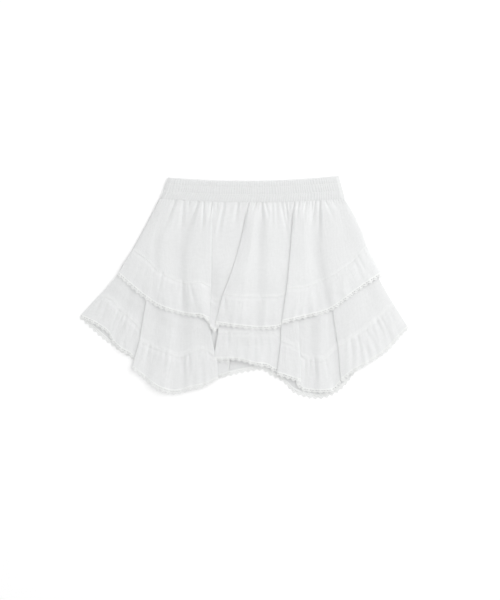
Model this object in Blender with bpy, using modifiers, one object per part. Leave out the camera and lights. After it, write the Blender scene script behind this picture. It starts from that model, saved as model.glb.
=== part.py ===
"""A tiered ruffle skirt with a shirred elastic waistband, laid flat on its back.

The front and the back are each a waistband and two tiers. A tier is a flared panel gathered
into the waist, a ruffle on the panel's lower edge, and a strip of scalloped lace. The waist
points to +Y, the front is up, and the skirt's own sizes are in millimetres: x to the right of
the middle of the waist, drop below it, z above the surface it lies on.
"""

from collections import namedtuple

import bmesh
import bpy
import numpy as np

MM = 0.001

# Cloth and the way its layers lie on each other
CLOTH = 1.0  # wall of the double gauze
SEAM_GAP = 0.35
RELIEF = 3.8  # height of a full fold above the lowest layer of its tier
EDGE_DROP = 0.8  # of RELIEF, from the top layer of a sharp fold to the lowest of its three
HIGHEST_ROLL = 1.06  # of RELIEF, which the smooth curve through the folds may reach
NOSE = 1.6  # the rounded edge of a sharp fold, along x
OPEN_FOLD = -2.0  # width of a sharp fold before it closes, where its edge still leans open
PEEK_AT_SEAM = 0.3  # share of a sharp fold's peek that is reached at the ruffle seam

# Where the middle of the laid-out outline lies, which is the part's origin
MIDDLE_X = -15.3
MIDDLE_DROP = 160.3

# Waistband: an elastic casing with three channels
WAIST_LEFT = -172.0
WAIST_RIGHT = 174.5
WAIST_SAG = 6.9  # the waist seam hangs this much lower in the middle
BAND_LEFT = -158.0  # at the top edge
BAND_RIGHT = 162.5
BAND_DEPTH = 40.2
BAND_TOP_SAG = 7.9
BAND_TOP_TILT = 1.5
BAND_BACK_WALL = 2.6
BAND_FRONT_WALL = 2.0
BAND_FRONT_Z = 4.45
BAND_CHANNELS = 3
BAND_PUFF = 0.8
BAND_GATHERS = 46
BAND_GATHER_HEIGHT = 0.45
BAND_GATHER_PINCH = 0.6  # share of a gather's height that is left on a stitch line
BAND_BACK_COLUMNS = 16

# Gathers and ruffles
GATHER_HEIGHT = 1.4
GATHER_FADE = 0.34  # share of the panel over which the waist gathers die out
GATHER_STEPS = 3  # columns to a gather
GATHERLESS_SIDE = 1.5  # stretches next to a side over which the gathers grow
FOLD_COLUMNS = {"shoulder": 2, "nose": 1, "tuck": 2}  # columns to each part of a sharp fold
LACE_DEPTH = 9.5
SCALLOP = 12.5  # length of a lace scallop
SCALLOP_DEPTH = 2.6
SCALLOP_STEPS = 2
WAVE_HEIGHT = 1.5
WAVES_PER_SCALLOP = 0.5
WAVE_AT_SEAM = 0.45  # share of a wave's height at the ruffle seam
LEAST_WAVE = 0.25  # share of a wave's height in the lowest layer
RUFFLE_DEPTH = 64.0
PANEL_DEPTH = 150.0
SEAM_STEP = 0.05  # share of the panel or ruffle next to a seam that gives the cloth's direction
STEEPEST_SEAM = 0.4  # a gap isn't widened further where a seam runs steeper than this

# Heights of the layers at their middle surface
UPPER_BACK_Z = 0.5
LOWER_BACK_Z = 1.8
LOWER_FRONT_Z = 3.1
UPPER_FRONT_WAIST_Z = 4.4
UPPER_FRONT_Z = 8.3
SHOULDER = 3.0  # the upper front curls down to the back within this width at its side folds
SHOULDER_Z = 4.6
SHOULDER_SINK = 2.0  # how far the shoulder lies below the rest at the ruffle seam
SIDE_OPENS = 0.7  # share of the ruffle over which the side rises from the back
FULL_HEIGHT_AT = 0.75  # share of the panel at which the upper front reaches its full height

# The hem of the upper back, below which the lower tier sinks to the surface
BACK_HEM_DROP = 227.0
BACK_HEM_RISE = 89.0
BACK_HEM_MIDDLE = -4.0
BACK_HEM_HALF = 250.0
BACK_SINKS = (10.0, 18.0)  # how far below that hem the lower back starts to sink, and over what
FRONT_SINKS = (20.0, 24.0)

# One row for each fold line of a tier, from the left side to the right. The line runs from the
# waist (waist_x, bowed sideways by bow) to the ruffle seam and on to the hem. height is in
# folds above the tier's lowest layer. A tuck is the width that a sharp fold hides, above 0
# where the fold's edge faces right and below 0 where it faces left, and peek is how much lower
# the hidden turn hangs than the edge. gathers counts the waist gathers up to the next line.
Fold = namedtuple("Fold", "waist_x bow seam_x seam_drop hem_x hem_drop height tuck peek gathers")

UPPER_FRONT = (
    Fold(-174, 4, -225, 89, -254, 138, 0.0, 0, 0, 1),
    Fold(-158, -9, -197, 109, -216, 172, 0.30, 0, 0, 1),
    Fold(-148, -15, -180, 127, -184, 191, 0.00, 0, 0, 1),
    Fold(-135, -16, -166, 136, -169, 202, 0.60, 0, 0, 2),
    Fold(-107, -14, -139, 149, -135, 212, 0.10, 0, 0, 1),
    Fold(-93, -9, -121, 154, -116, 217, 0.90, 0, 0, 1),
    Fold(-84, -3, -99, 151, -102, 217, 1.00, 0, 0, 1),
    Fold(-75, 0, -77, 159, -80, 224, 1.00, 11, -6, 2),
    Fold(-60, -3, -73, 184, -76, 241, 0.30, 0, 0, 2),
    Fold(-42, -3, -62, 186, -69, 245, 0.15, 0, 0, 3),
    Fold(-8, 6, -55, 174, -70, 232, 1.00, -13, -6, 1),
    Fold(6, 2, -23, 178, -30, 237, 1.05, 0, 0, 1),
    Fold(14, 0, 10, 179, 6, 241, 0.40, 0, 0, 1),
    Fold(27, 1, 29, 179, 27, 241, 0.85, 0, 0, 3),
    Fold(67, 0, 59, 175, 49, 238, 0.35, 0, 0, 1),
    Fold(78, 1, 65, 162, 55, 230, 1.00, -11, -6, 2),
    Fold(98, 0, 96, 161, 88, 222, 1.00, 0, 0, 2),
    Fold(121, -7, 129, 149, 141, 209, 0.15, 0, 0, 1),
    Fold(133, -5, 146, 141, 154, 202, 0.85, 0, 0, 2),
    Fold(160, 0, 188, 112, 207, 163, 0.70, 0, 0, 1),
    Fold(175, 0, 217, 81, 243, 140, 0.0, 0, 0, 0),
)

LOWER_FRONT = (
    Fold(-168, 15, -289, 176, -326, 217, 0.00, 0, 0, 1),
    Fold(-164, 11, -263, 186, -297, 231, 0.45, 0, 0, 1),
    Fold(-158, 8, -253, 200, -271, 249, 0.25, 0, 0, 1),
    Fold(-156, 7, -246, 207, -262, 266, 0.10, 0, 0, 1),
    Fold(-154, 6, -233, 217, -246, 282, 0.45, 0, 0, 1),
    Fold(-150, 0, -216, 234, -227, 292, 0.30, 0, 0, 1),
    Fold(-147, -6, -212, 262, -227, 315, 1.00, -11, -6, 1),
    Fold(-137, -4, -190, 273, -205, 332, 0.55, 0, 0, 1),
    Fold(-124, 0, -160, 283, -168, 356, 1.05, 0, 0, 1),
    Fold(-114, 0, -139, 292, -142, 362, 0.40, 0, 0, 1),
    Fold(-102, 0, -112, 284, -114, 354, 1.00, 0, 0, 1),
    Fold(-96, 0, -94, 278, -93, 350, 1.05, 0, 0, 1),
    Fold(-85, -6, -74, 291, -63, 334, 1.00, 10, -6, 1),
    Fold(-71, -4, -67, 279, -54, 330, 0.00, 0, 0, 1),
    Fold(-56, 0, -67, 246, -61, 298, 1.00, -16, 22, 1),
    Fold(-34, 0, -23, 246, -26, 299, 0.95, 0, 0, 1),
    Fold(-4, 0, 11, 246, 8, 309, 0.85, 0, 0, 1),
    Fold(28, 0, 36, 246, 27, 312, 0.60, 0, 0, 1),
    Fold(48, 0, 50, 254, 41, 320, 0.30, 0, 0, 1),
    Fold(58, 0, 54, 262, 46, 328, 1.00, -11, -6, 1),
    Fold(71, 0, 71, 268, 70, 334, 0.90, 0, 0, 1),
    Fold(86, -2, 89, 274, 92, 340, 1.00, 9, 8, 1),
    Fold(96, 0, 99, 295, 98, 357, 0.20, 0, 0, 1),
    Fold(106, 0, 111, 298, 111, 359, 0.10, 0, 0, 1),
    Fold(114, 5, 127, 299, 132, 360, 0.75, 0, 0, 1),
    Fold(120, 3, 137, 297, 147, 359, 0.60, 0, 0, 1),
    Fold(127, 0, 147, 286, 155, 356, 0.30, 0, 0, 1),
    Fold(135, -5, 162, 272, 167, 338, 1.00, -9, -6, 1),
    Fold(143, 0, 186, 259, 186, 324, 0.95, 0, 0, 1),
    Fold(149, 0, 211, 242, 220, 304, 0.65, 0, 0, 1),
    Fold(154, 0, 237, 222, 256, 280, 0.35, 0, 0, 1),
    Fold(162, -4, 254, 204, 273, 261, 0.60, 0, 0, 1),
    Fold(170, -7, 269, 196, 295, 238, 0.00, 0, 0, 0),
)

UPPER_BACK = (
    Fold(-174, 4, -225, 89, -254, 138, 0, 0, 0, 1),
    Fold(-92, 0, -117, 148, -124, 204, 0, 0, 0, 1),
    Fold(0, 0, -4, 170, -4, 227, 0, 0, 0, 1),
    Fold(90, 0, 109, 148, 120, 204, 0, 0, 0, 1),
    Fold(175, 0, 217, 81, 243, 140, 0, 0, 0, 0),
)

LOWER_BACK = (
    Fold(-168, 15, -289, 176, -326, 217, 0, 0, 0, 1),
    Fold(-145, 8, -241, 225, -269, 266, 0, 0, 0, 1),
    Fold(-117, 0, -177, 262, -196, 311, 0, 0, 0, 1),
    Fold(-70, 0, -117, 277, -117, 338, 0, 0, 0, 1),
    Fold(-45, 0, -56, 266, -56, 330, 0, 0, 0, 1),
    Fold(-13, 0, -8, 257, -8, 320, 0, 0, 0, 1),
    Fold(6, 0, 19, 255, 19, 317, 0, 0, 0, 1),
    Fold(24, 0, 39, 268, 38, 328, 0, 0, 0, 1),
    Fold(43, 0, 60, 281, 58, 338, 0, 0, 0, 1),
    Fold(62, 0, 85, 300, 81, 360, 0, 0, 0, 1),
    Fold(90, 0, 126, 308, 128, 370, 0, 0, 0, 1),
    Fold(118, 0, 156, 291, 165, 355, 0, 0, 0, 1),
    Fold(137, 0, 196, 261, 205, 309, 0, 0, 0, 1),
    Fold(170, -7, 269, 196, 295, 238, 0, 0, 0, 0),
)

# How each tier lies. rise: shares of the panel between which its folds grow from start (a share
# of their full height) to full. tuck: shares between which its sharp folds close. floor_z is
# the height of its lowest layer at x, drop and v. curled says that its sides curl down, gathered
# that it has waist gathers, and waved that its ruffle has waves. columns are what a stretch
# without gathers has, and levels the shares of the panel at which it has a row.
Tier = namedtuple("Tier", "folds rise start tuck floor_z curled gathered waved columns levels")

COLOURS = {
    "waistband": (0.80, 0.81, 0.82),
    "panel": (0.84, 0.85, 0.85),
    "ruffle": (0.85, 0.86, 0.86),
    "lace": (0.88, 0.88, 0.87),
}
CLOTH_ROUGHNESS = 0.9


# ---------------------------------------------------------------- small sums
def ease(share):
    """0 to 1 with level ends."""
    share = np.clip(share, 0.0, 1.0)
    return share * share * (3 - 2 * share)


def mix(a, b, share):
    return a + (b - a) * share


def past(value, start_and_length):
    """Share of a length that a value has passed."""
    start, length = start_and_length
    return (value - start) / length


def waist_drop(x):
    return -WAIST_SAG * (x / WAIST_RIGHT) ** 2


def band_top_drop(x):
    across = (x - BAND_TOP_TILT) / BAND_RIGHT
    return -BAND_DEPTH - BAND_TOP_SAG * across**2 - BAND_TOP_TILT * across


def below_back_hem(x, drop):
    """How far a point lies below the hem of the upper back."""
    across = (x - BACK_HEM_MIDDLE) / BACK_HEM_HALF
    return drop - (BACK_HEM_DROP - BACK_HEM_RISE * across**2)


# ---------------------------------------------------------------- how the layers lie
def flat_floor(x, drop, v):
    return UPPER_BACK_Z


def lower_back_floor(x, drop, v):
    """Over the upper back, then down on the surface."""
    return mix(LOWER_BACK_Z, CLOTH / 2, ease(past(below_back_hem(x, drop), BACK_SINKS)))


def lower_front_floor(x, drop, v):
    return mix(LOWER_FRONT_Z, LOWER_BACK_Z, ease(past(below_back_hem(x, drop), FRONT_SINKS)))


def upper_front_floor(x, drop, v):
    return mix(UPPER_FRONT_WAIST_Z, UPPER_FRONT_Z, ease(v / FULL_HEIGHT_AT))


FLAT = (0.0, 1.0)
UPPER_LEVELS = (0, 0.07, 0.16, 0.3, 0.55, 0.8, 1)
LOWER_LEVELS = (0, 0.22, 0.44, 0.64, 0.8, 0.9, 1)
UPPER_BACK_LEVELS = (0, 0.5, 1)
LOWER_BACK_LEVELS = (0, 0.35, 0.7, 0.77, 0.84, 0.92, 1)
TIERS = {
    "upper_front": Tier(
        UPPER_FRONT, (0.0, 0.22), 0.35, (0.08, 0.55), upper_front_floor, True, True, True, 2, UPPER_LEVELS
    ),
    "lower_front": Tier(
        LOWER_FRONT, (0.35, 0.6), 0.0, (0.5, 0.8), lower_front_floor, False, False, True, 2, LOWER_LEVELS
    ),
    "upper_back": Tier(
        UPPER_BACK, FLAT, 0.0, FLAT, flat_floor, False, False, False, 6, UPPER_BACK_LEVELS
    ),
    "lower_back": Tier(
        LOWER_BACK, FLAT, 0.0, FLAT, lower_back_floor, False, False, False, 3, LOWER_BACK_LEVELS
    ),
}


# ---------------------------------------------------------------- cross-sections of a tier
def fold_line(fold, v):
    """x and drop of a fold line: v is 0 at the waist, 1 at the ruffle seam and 2 at the hem."""
    if v <= 1:
        x = mix(fold.waist_x, fold.seam_x, v) + 4 * fold.bow * v * (1 - v)
        return x, mix(waist_drop(fold.waist_x), fold.seam_drop, v)
    return mix(fold.seam_x, fold.hem_x, v - 1), mix(fold.seam_drop, fold.hem_drop, v - 1)


def sharp_fold(fold, x, drop, z, v, tier, growth):
    """Six points from the upper layer round the edge, back under it, and round to the lowest."""
    facing = np.sign(fold.tuck)
    close_from, close_to = tier.tuck
    closed = ease((v - close_from) / (close_to - close_from))
    width = mix(OPEN_FOLD, abs(fold.tuck), closed)
    shut = ease(width / (2 * NOSE))
    hang = fold.peek * closed * mix(PEEK_AT_SEAM, 1.0, max(v - 1, 0))
    loose = np.linspace(0, 1, 6)
    tight = np.array((0, 0, 0, 1, 1, 1))
    nose = np.array((1, 0, 1, -1, 0, -1)) * NOSE
    back = mix(loose * width, tight * width + nose, shut)
    down = mix(loose, np.array((0, 0.25, 0.5, 0.5, 0.75, 1)), shut) * EDGE_DROP * RELIEF * growth
    points = [(x - facing * b, drop + hang * t, z - d, 0.0) for b, t, d in zip(back, tight, down)]
    return points if facing > 0 else points[::-1]


def section(tier, v):
    """Points (x, drop, z, share of the waves) that the cloth passes through at v."""
    rise_from, rise_to = tier.rise
    growth = mix(tier.start, 1.0, ease((v - rise_from) / (rise_to - rise_from)))
    points = []
    for fold in tier.folds:
        x, drop = fold_line(fold, v)
        z = tier.floor_z(x, drop, v) + RELIEF * growth * fold.height
        if fold.tuck:
            points += sharp_fold(fold, x, drop, z, v, tier, growth)
        else:
            points.append((x, drop, z, min(1.0, LEAST_WAVE + fold.height)))
    if tier.curled:
        side_z = mix(LOWER_BACK_Z, SHOULDER_Z, ease((v - 1) / SIDE_OPENS))
        shoulder_z = mix(SHOULDER_Z, UPPER_FRONT_Z - SHOULDER_SINK, ease(v))
        for end, inward in ((0, 1), (-1, -1)):
            x, drop, _, _ = points[end]
            next_x, next_drop, _, _ = points[end + inward]
            share = SHOULDER / abs(next_x - x)
            points[end] = (x, drop, side_z, 0.0)
            shoulder = (mix(x, next_x, share), mix(drop, next_drop, share), shoulder_z, 0.0)
            points.insert(1 if end == 0 else -1, shoulder)
    return np.array(points)


def kinds(tier):
    """What each stretch between two section points is: gathers of an open one, or a fold's part."""
    found = []
    if tier.curled:
        found.append("shoulder")
    for row, fold in enumerate(tier.folds):
        if fold.tuck:
            found += ["nose", "nose", "tuck", "nose", "nose"]
        if row < len(tier.folds) - 1:
            found.append(fold.gathers)
    if tier.curled:
        found.append("shoulder")
    return found


def through(points, places):
    """The smooth curve through the points, at places given as point number plus a share."""
    ends = np.vstack((2 * points[0] - points[1], points, 2 * points[-1] - points[-2]))
    first = np.minimum(places.astype(int), len(points) - 2)
    share = (places - first)[:, None]
    before, a, b, after = (ends[first + k] for k in range(4))

    def knot(p, q):
        return np.sqrt(np.linalg.norm((q - p)[:, :3], axis=1))[:, None] + 1e-6

    t0, t1, t2 = knot(before, a), knot(a, b), knot(b, after)
    leave = ((a - before) / t0 - (b - before) / (t0 + t1) + (b - a) / t1) * t1
    arrive = ((b - a) / t1 - (after - a) / (t1 + t2) + (after - b) / t2) * t1
    s2, s3 = share**2, share**3
    return (
        (2 * s3 - 3 * s2 + 1) * a
        + (s3 - 2 * s2 + share) * leave
        + (3 * s2 - 2 * s3) * b
        + (s3 - s2) * arrive
    )


def surface(tier, v, places):
    """Points of the tier's middle surface, kept between its lowest layer and its highest."""
    points = through(section(tier, v), places)
    floor = tier.floor_z(points[:, 0], points[:, 1], v)
    inner = (places > 2) & (places < len(kinds(tier)) - 2) if tier.curled else places >= 0
    kept = np.clip(points[:, 2], floor, floor + RELIEF * HIGHEST_ROLL)
    points[:, 2] = np.where(inner, kept, points[:, 2])
    return points


def columns(counts, repeats):
    """Places of a row's columns, counts of them to a stretch, and the repeats passed at each."""
    places, passed = [0.0], [0.0]
    for stretch, (count, repeat) in enumerate(zip(counts, repeats)):
        for n in range(count):
            places.append(stretch + (n + 1) / count)
            passed.append(passed[-1] + repeat / count)
    return np.array(places), np.array(passed)


def panel_columns(tier):
    """Columns of a panel, and the waist gathers up to each."""
    found = kinds(tier)
    gathers = [kind if tier.gathered and isinstance(kind, int) else 0 for kind in found]
    counts = [
        GATHER_STEPS * many or FOLD_COLUMNS.get(kind, tier.columns)
        for many, kind in zip(gathers, found)
    ]
    return columns(counts, gathers)


def scallops(tier):
    """How many lace scallops fit each stretch of the hem."""
    hem = section(tier, 2.0)[:, :2]
    lengths = np.linalg.norm(np.diff(hem, axis=0), axis=1)
    return [
        max(1, round(length / SCALLOP)) if isinstance(kind, int) else 0
        for kind, length in zip(kinds(tier), lengths)
    ]


def lace_columns(tier):
    """Columns of a lace strip, and the scallops up to each."""
    many = scallops(tier)
    counts = [SCALLOP_STEPS * n or FOLD_COLUMNS[kind] for n, kind in zip(many, kinds(tier))]
    return columns(counts, many)


def ruffle_columns(tier):
    """Columns of a ruffle: its lace's own where it has waves, and few where it lies flat."""
    if tier.waved:
        return lace_columns(tier)
    many = scallops(tier)
    return columns([tier.columns] * len(many), many)


def off_seam(tier, v, side, edge_places, places=None):
    """An edge that runs half a gap off the seam at v, above it (side -1) or below it (side 1).

    It is straight between edge_places, the columns of the coarser of the two pieces.
    """
    edge = surface(tier, v, edge_places)
    along = (surface(tier, v + side * SEAM_STEP, edge_places) - edge)[:, :3]
    along /= np.linalg.norm(along, axis=1)[:, None]
    run = np.gradient(edge[:, :2], axis=0)
    run /= np.linalg.norm(run, axis=1)[:, None] + 1e-6
    slant = abs(run[:, 0] * along[:, 1] - run[:, 1] * along[:, 0])
    edge[:, :3] += along * (SEAM_GAP / 2 / np.maximum(slant, STEEPEST_SEAM))[:, None]
    if places is None:
        return edge
    return np.stack([np.interp(places, edge_places, edge[:, k]) for k in range(4)], axis=1)


# ---------------------------------------------------------------- meshes
def to_world(x, drop, z):
    return ((x - MIDDLE_X) * MM, (MIDDLE_DROP - drop) * MM, z * MM)


def cloth_material(kind):
    material = bpy.data.materials.get(kind)
    if material is None:
        material = bpy.data.materials.new(kind)
        material.use_nodes = True
        shader = material.node_tree.nodes["Principled BSDF"]
        shader.inputs["Base Color"].default_value = (*COLOURS[kind], 1.0)
        shader.inputs["Roughness"].default_value = CLOTH_ROUGHNESS
        shader.inputs["Metallic"].default_value = 0.0
    return material


def sheet(name, rows, wall, kind, collection):
    """A wall of cloth round a grid of points: rows run from the waist down, each left to right."""
    rows = np.array(rows)
    down, across = rows.shape[0] - 1, rows.shape[1] - 1
    grid = bmesh.new()
    bmesh.ops.create_grid(grid, x_segments=across, y_segments=down, size=0.5)
    for vert in grid.verts:
        column = round((vert.co.x + 0.5) * across)
        row = round((0.5 - vert.co.y) * down)
        vert.co = to_world(*rows[row, column])
    mesh = bpy.data.meshes.new(name)
    grid.to_mesh(mesh)
    grid.free()
    mesh.shade_smooth()
    piece = bpy.data.objects.new(name, mesh)
    piece.data.materials.append(cloth_material(kind))
    collection.objects.link(piece)
    solid = piece.modifiers.new("wall", "SOLIDIFY")
    solid.thickness = wall * MM
    solid.offset = 0.0
    return piece


def make_panel(tier, name, collection):
    """The panel from the waist seam to the ruffle seam, with its gathers at the waist."""
    places, gathers = panel_columns(tier)
    levels = np.array(tier.levels, float)
    levels[0] = SEAM_GAP / 2 / PANEL_DEPTH
    swell = 0.5 - 0.5 * np.cos(2 * np.pi * gathers)
    swell *= ease(np.minimum(places, places[-1] - places) / GATHERLESS_SIDE)
    rows = []
    for v in levels:
        points = surface(tier, v, places) if v < 1 else off_seam(tier, v, -1, places)
        points[:, 2] += GATHER_HEIGHT * (1 - ease(v / GATHER_FADE)) * swell
        rows.append(points[:, :3])
    return sheet(name, rows, CLOTH, "panel", collection)


def wave(tier, points, passed, share):
    """Lifts a row into the ruffle's waves, which open out towards the hem."""
    if tier.waved:
        swell = 0.5 - 0.5 * np.cos(2 * np.pi * WAVES_PER_SCALLOP * passed)
        points[:, 2] += WAVE_HEIGHT * mix(WAVE_AT_SEAM, 1.0, share) * swell * np.clip(points[:, 3], 0, 1)
    return points[:, :3]


def make_ruffle(tier, name, collection):
    """The gathered strip between the panel's edge and the lace."""
    places, passed = ruffle_columns(tier)
    end = 1 - LACE_DEPTH / RUFFLE_DEPTH
    top = off_seam(tier, 1.0, 1, panel_columns(tier)[0], places)
    middle = [surface(tier, 1 + end / 2, places)] if tier.waved else []
    bottom = off_seam(tier, 1 + end, -1, places)
    rows = [top, *middle, bottom]
    shares = np.linspace(0, end, len(rows))
    rows = [wave(tier, row, passed, share) for row, share in zip(rows, shares)]
    return sheet(name, rows, CLOTH, "ruffle", collection)


def make_lace(tier, name, collection):
    """The strip along the ruffle's edge: straight above, scalloped below."""
    places, passed = lace_columns(tier)
    top = 1 - LACE_DEPTH / RUFFLE_DEPTH
    upper = off_seam(tier, 1 + top, 1, ruffle_columns(tier)[0], places)
    between = surface(tier, 2 - SCALLOP_DEPTH / RUFFLE_DEPTH, places)
    tips = surface(tier, 2.0, places)
    lower = mix(between, tips, np.sin(np.pi * passed)[:, None] ** 2)
    rows = [wave(tier, upper, passed, top), wave(tier, lower, passed, 1.0)]
    return sheet(name, rows, CLOTH, "lace", collection)


def make_tier(key, collection):
    tier = TIERS[key]
    level, side = key.split("_")
    make_panel(tier, f"{level}_panel_{side}", collection)
    make_ruffle(tier, f"{level}_ruffle_{side}", collection)
    make_lace(tier, f"{level}_lace_{side}", collection)


def band_rows(columns, steps, z, puff, gather):
    """The waistband's points: channels across its depth, and gathers along it."""
    across = np.linspace(0, 1, columns + 1)
    zigzag = np.where(np.arange(columns + 1) % 2, 1.0, -1.0)
    top_x, seam_x = mix(BAND_LEFT, BAND_RIGHT, across), mix(WAIST_LEFT, WAIST_RIGHT, across)
    rows = []
    for step in range(steps + 1):
        share = step / steps
        x = mix(top_x, seam_x, share)
        drop = mix(band_top_drop(top_x), waist_drop(seam_x) - SEAM_GAP / 2, share)
        channel = abs(np.sin(np.pi * BAND_CHANNELS * share))
        height = z + puff * channel + gather * mix(BAND_GATHER_PINCH, 1.0, channel) * zigzag
        rows.append(np.stack((x, drop, height), axis=1))
    return rows


def make_waistband(collection):
    front = band_rows(2 * BAND_GATHERS, 2 * BAND_CHANNELS, BAND_FRONT_Z, BAND_PUFF, BAND_GATHER_HEIGHT)
    sheet("waistband_front", front, BAND_FRONT_WALL, "waistband", collection)
    back = band_rows(BAND_BACK_COLUMNS, 1, BAND_BACK_WALL / 2, 0.0, 0.0)
    sheet("waistband_back", back, BAND_BACK_WALL, "waistband", collection)


def clear_scene():
    for thing in list(bpy.data.objects):
        bpy.data.objects.remove(thing, do_unlink=True)


def make_skirt():
    clear_scene()
    skirt = bpy.data.collections.new("tiered_ruffle_skirt")
    bpy.context.scene.collection.children.link(skirt)
    make_waistband(skirt)
    for key in TIERS:
        make_tier(key, skirt)


make_skirt()
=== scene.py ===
"""A tiered ruffle skirt of white cotton, laid flat on its back.

Inside this file the skirt has its own sizes in millimetres: x to the right of the middle of the
waist, drop below the waist seam, and z above the surface that it lies on.
"""

from collections import namedtuple
from functools import lru_cache
import math

import bmesh
import bpy
from mathutils import Matrix, Vector, noise
import numpy as np


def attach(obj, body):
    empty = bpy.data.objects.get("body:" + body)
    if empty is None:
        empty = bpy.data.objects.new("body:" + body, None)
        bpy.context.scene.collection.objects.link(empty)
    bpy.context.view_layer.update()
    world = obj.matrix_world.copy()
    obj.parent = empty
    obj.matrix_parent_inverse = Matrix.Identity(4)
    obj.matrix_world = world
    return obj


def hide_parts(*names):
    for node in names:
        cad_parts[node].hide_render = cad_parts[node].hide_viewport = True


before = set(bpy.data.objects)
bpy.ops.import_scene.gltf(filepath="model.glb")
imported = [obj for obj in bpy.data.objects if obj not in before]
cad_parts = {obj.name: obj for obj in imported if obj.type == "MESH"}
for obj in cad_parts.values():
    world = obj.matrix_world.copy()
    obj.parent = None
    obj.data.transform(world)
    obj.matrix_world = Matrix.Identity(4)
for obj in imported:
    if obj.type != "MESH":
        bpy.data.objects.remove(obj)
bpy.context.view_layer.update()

# ---------------------------------------------------------------- Panels
# Each tier is a flared panel of white cotton double gauze, front and back, gathered into the
# waist. The upper panels hang over the lower ones, and all four lie in soft and sharp folds.
MM = 0.001
MIDDLE_X = -15.3  # the middle of the laid-out outline, which is the origin
MIDDLE_DROP = 160.3
WAIST_RIGHT = 174.5
WAIST_SAG = 6.9
PANEL_DEPTH = 150.0
RUFFLE_DEPTH = 64.0
FRONT_WALL = 0.8  # thickness of the double gauze
BACK_WALL = 0.55  # the same cloth pressed flat by what lies on it
RELIEF = 3.8  # height of a full fold above the lowest layer of its tier
EDGE_DROP = 0.62  # of its height, from the top layer of a sharp fold to the lowest of its three
NOSE = 2.0  # rounded edge of a fold, along x
LOOSE_NOSE = 2.8  # the same where a fold faces right, which lies looser
OPEN_TUCK = -2.0  # a sharp fold that hasn't closed yet stands open by this much
HANG_AT_SEAM = 0.3  # share of its peek that a hidden turn has at the seam
CREST = 0.9  # folds are eased off from this share of their height, over the next
CREST_EASE = 0.14
TROUGH = 0.08  # and below this one
CLOTH_MIDDLE = 0.5
UPPER_BACK_Z = 0.5
LOWER_BACK_Z = 1.8
LOWER_FRONT_Z = 3.1
UPPER_FRONT_WAIST_Z = 4.4
UPPER_FRONT_Z = 8.6
REST_CLEAR = 1.4  # the upper front's lowest layer lies this far above what is under it
HEM_CLEAR = 1.05  # the same at its hem
HEM_SETTLES = 0.35  # share of its height that the upper hem loses as it settles on the tier below
OPEN_HEM_SETTLES = 0.75  # the same away from sharp folds, where it lies in one layer
REST_CELL = 4.0  # grid that holds the heights under it
REST_HALF = 320.0
REST_COLUMNS = 161
REST_ROWS = 101
SHOULDER = 1.4  # width over which the upper front turns down at its sides
SHOULDER_Z = 4.6
SHOULDER_SHARE = 0.8  # of the full height, at the top of that turn
SIDE_FOLD_DROP = 0.3  # the side edge of a front turns down this much to meet its back
BACK_HEM_DROP = 227.0  # hem of the upper back, over which the lower tier steps down
BACK_HEM_RISE = 89.0
BACK_HEM_MIDDLE = -4.0
BACK_HEM_HALF = 250.0

# One row for each fold line, from the waist to the ruffle seam and the hem. height is in
# folds, tuck is the width that a sharp fold hides (above 0 where its edge faces right), and
# peek is how much lower its hidden turn hangs. A back lies flat, so its rows leave these out.
FOLD_COLUMNS = "waist_x bow seam_x seam_drop hem_x hem_drop height tuck peek"
Fold = namedtuple("Fold", FOLD_COLUMNS, defaults=(0, 0, 0))

UPPER_FRONT = [Fold(*row) for row in (
    (-174, 0.7, -225, 89, -254, 138, 0.1, 0, 0),
    (-158, -9, -197, 109, -216, 172, 0.30, 0, 0),
    (-148, -15, -180, 127, -184, 195, 0.12, 0, 0),
    (-135, -16, -166, 136, -169, 203, 0.48, 0, 0),
    (-112, -14, -144, 148, -142, 211, 0.02, 0, 0),
    (-102, -13, -131, 152, -128, 214, 0.16, 0, 0),
    (-93, -9, -120, 154, -108, 217, 0.90, 0, 0),
    (-84, -3, -99, 151, -97, 218, 0.94, 0, 0),
    (-75, 0, -77, 159, -80, 224, 0.88, 11, -6),
    (-60, -3, -73, 184, -76, 241, 0.30, 0, 0),
    (-42, -3, -62, 186, -69, 245, 0.15, 0, 0),
    (-8, 6, -55, 174, -70, 232, 0.69, -13, -6),
    (6, 2, -23, 178, -30, 237, 1.05, 0, 0),
    (14, 0, 10, 179, 6, 241, 0.30, 0, 0),
    (27, 1, 29, 179, 27, 241, 0.85, 0, 0),
    (67, 0, 59, 175, 49, 238, 0.35, 0, 0),
    (78, 1, 65, 162, 55, 230, 0.92, -11, -6),
    (98, 0, 96, 161, 88, 222, 1.00, 0, 0),
    (121, -7, 129, 149, 141, 209, 0.15, 0, 0),
    (133, -5, 146, 141, 154, 202, 0.85, 0, 0),
    (160, 0, 188, 112, 207, 163, 0.70, 0, 0),
    (175, 4.0, 217, 81, 247, 138, 0.4, 0, 0),
)]

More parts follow.
